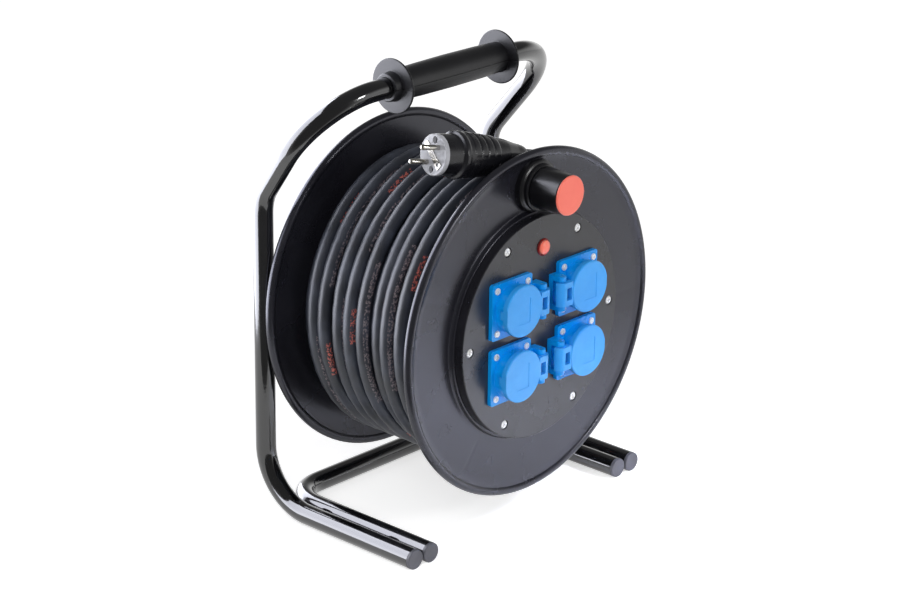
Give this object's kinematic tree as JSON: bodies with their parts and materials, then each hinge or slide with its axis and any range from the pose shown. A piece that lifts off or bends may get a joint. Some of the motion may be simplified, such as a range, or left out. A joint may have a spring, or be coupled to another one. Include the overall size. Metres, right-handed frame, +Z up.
{
  "type": "extension cord reel",
  "caption": "Extension cable reel: a round drum with lidded sockets, cut-out button and crank knob, turning in a bent tube frame with a carrying grip.",
  "frame": {"origin": "bottom centre of the reel without its cable and plug, on the floor", "axes": "+Z up; the socket panel faces -Y; the handle bar runs along X"},
  "size_m": [0.317, 0.2305, 0.4105],
  "materials": {
    "frame_paint": "gloss black stove enamel",
    "cap_plastic": "satin grey",
    "steel": "zinc plated",
    "bush_bronze": "sintered, oiled",
    "grip_plastic": "satin black",
    "drum_plastic": "satin black",
    "panel_plastic": "satin black",
    "seal_rubber": "matt black",
    "socket_blue": "gloss blue",
    "lid_blue": "gloss light blue",
    "contact_brass": "bright",
    "spring_steel": "bright",
    "inner_black": "matt black",
    "bezel_red": "gloss dark red",
    "button_red": "translucent red",
    "knob_black": "gloss black",
    "cap_red": "satin red",
    "terminal_cream": "matt cream",
    "lead_rubber": "matt dark grey",
    "cable_rubber": "satin black",
    "plug_rubber": "satin black",
    "plug_grey": "clear grey",
    "pin_nickel": "nickel plated"
  },
  "bodies": {
    "frame": {"main_tube": "frame_paint", "base_tube": "frame_paint", "weld_bridges": "frame_paint", "foot_cap_left_outer": "cap_plastic", "foot_cap_left_inner": "cap_plastic", "foot_cap_right_inner": "cap_plastic", "foot_cap_right_outer": "cap_plastic", "cross_tube": "frame_paint", "axle": "steel", "rear_washer": "steel", "front_washer": "steel", "axle_nut": "steel", "grip_upper": "grip_plastic", "grip_lower": "grip_plastic"},
    "drum": {"rear_flange": "drum_plastic", "hub_bush": "bush_bronze", "barrel": "drum_plastic", "rear_screws": "steel", "front_flange": "drum_plastic", "panel_seal": "seal_rubber", "panel_cover": "panel_plastic", "panel_screws": "steel", "socket_1": "socket_blue", "socket_2": "socket_blue", "socket_3": "socket_blue", "socket_4": "socket_blue", "contacts_1": "contact_brass", "contacts_2": "contact_brass", "contacts_3": "contact_brass", "contacts_4": "contact_brass", "socket_screws": "steel", "hinge_pin_1": "steel", "hinge_pin_2": "steel", "hinge_pin_3": "steel", "hinge_pin_4": "steel", "lid_springs": "spring_steel", "cutout_body": "inner_black", "cutout_bezel": "bezel_red", "knob_base": "knob_black", "knob_pin": "steel", "terminal_block": "terminal_cream", "socket_leads": "lead_rubber", "supply_lead": "lead_rubber", "cable_inlet": "inner_black", "cable_layers": "cable_rubber", "cable_winding": "cable_rubber", "plug_body": "plug_rubber", "plug_face": "plug_grey", "plug_pins": "pin_nickel", "plug_strap": "pin_nickel"},
    "knob": {"crank_knob": "knob_black", "knob_cap": "cap_red"},
    "lid_body_1": {"lid_1": "lid_blue"},
    "lid_body_2": {"lid_2": "lid_blue"},
    "lid_body_3": {"lid_3": "lid_blue"},
    "lid_body_4": {"lid_4": "lid_blue"},
    "button": {"reset_button": "button_red"}
  },
  "joints": [
    {"name": "drum_spin", "type": "hinge", "parent": "frame", "child": "drum", "pos_m": [0, 0, 0.184], "axis": [0, 1, 0], "continuous": true},
    {"name": "knob_spin", "type": "hinge", "parent": "drum", "child": "knob", "pos_m": [0, -0.095, 0.308], "axis": [0, 1, 0], "continuous": true},
    {"name": "lid_1_hinge", "type": "hinge", "parent": "drum", "child": "lid_body_1", "pos_m": [-0.0126, -0.09655, 0.2135], "axis": [0, 0, 1], "range_deg": [0, 90], "stiffness_Nm_per_rad": 0.01, "springref_deg": -57.3},
    {"name": "lid_2_hinge", "type": "hinge", "parent": "drum", "child": "lid_body_2", "pos_m": [0.0126, -0.09655, 0.2135], "axis": [0, 0, -1], "range_deg": [0, 90], "stiffness_Nm_per_rad": 0.01, "springref_deg": -57.3},
    {"name": "lid_3_hinge", "type": "hinge", "parent": "drum", "child": "lid_body_3", "pos_m": [-0.0126, -0.09655, 0.1545], "axis": [0, 0, 1], "range_deg": [0, 90], "stiffness_Nm_per_rad": 0.01, "springref_deg": -57.3},
    {"name": "lid_4_hinge", "type": "hinge", "parent": "drum", "child": "lid_body_4", "pos_m": [0.0126, -0.09655, 0.1545], "axis": [0, 0, -1], "range_deg": [0, 90], "stiffness_Nm_per_rad": 0.01, "springref_deg": -57.3},
    {"name": "reset_press", "type": "slide", "parent": "drum", "child": "button", "axis": [0, 1, 0], "range_m": [0, 0.0025], "stiffness_N_per_m": 300, "springref_m": -0.003}
  ]
}
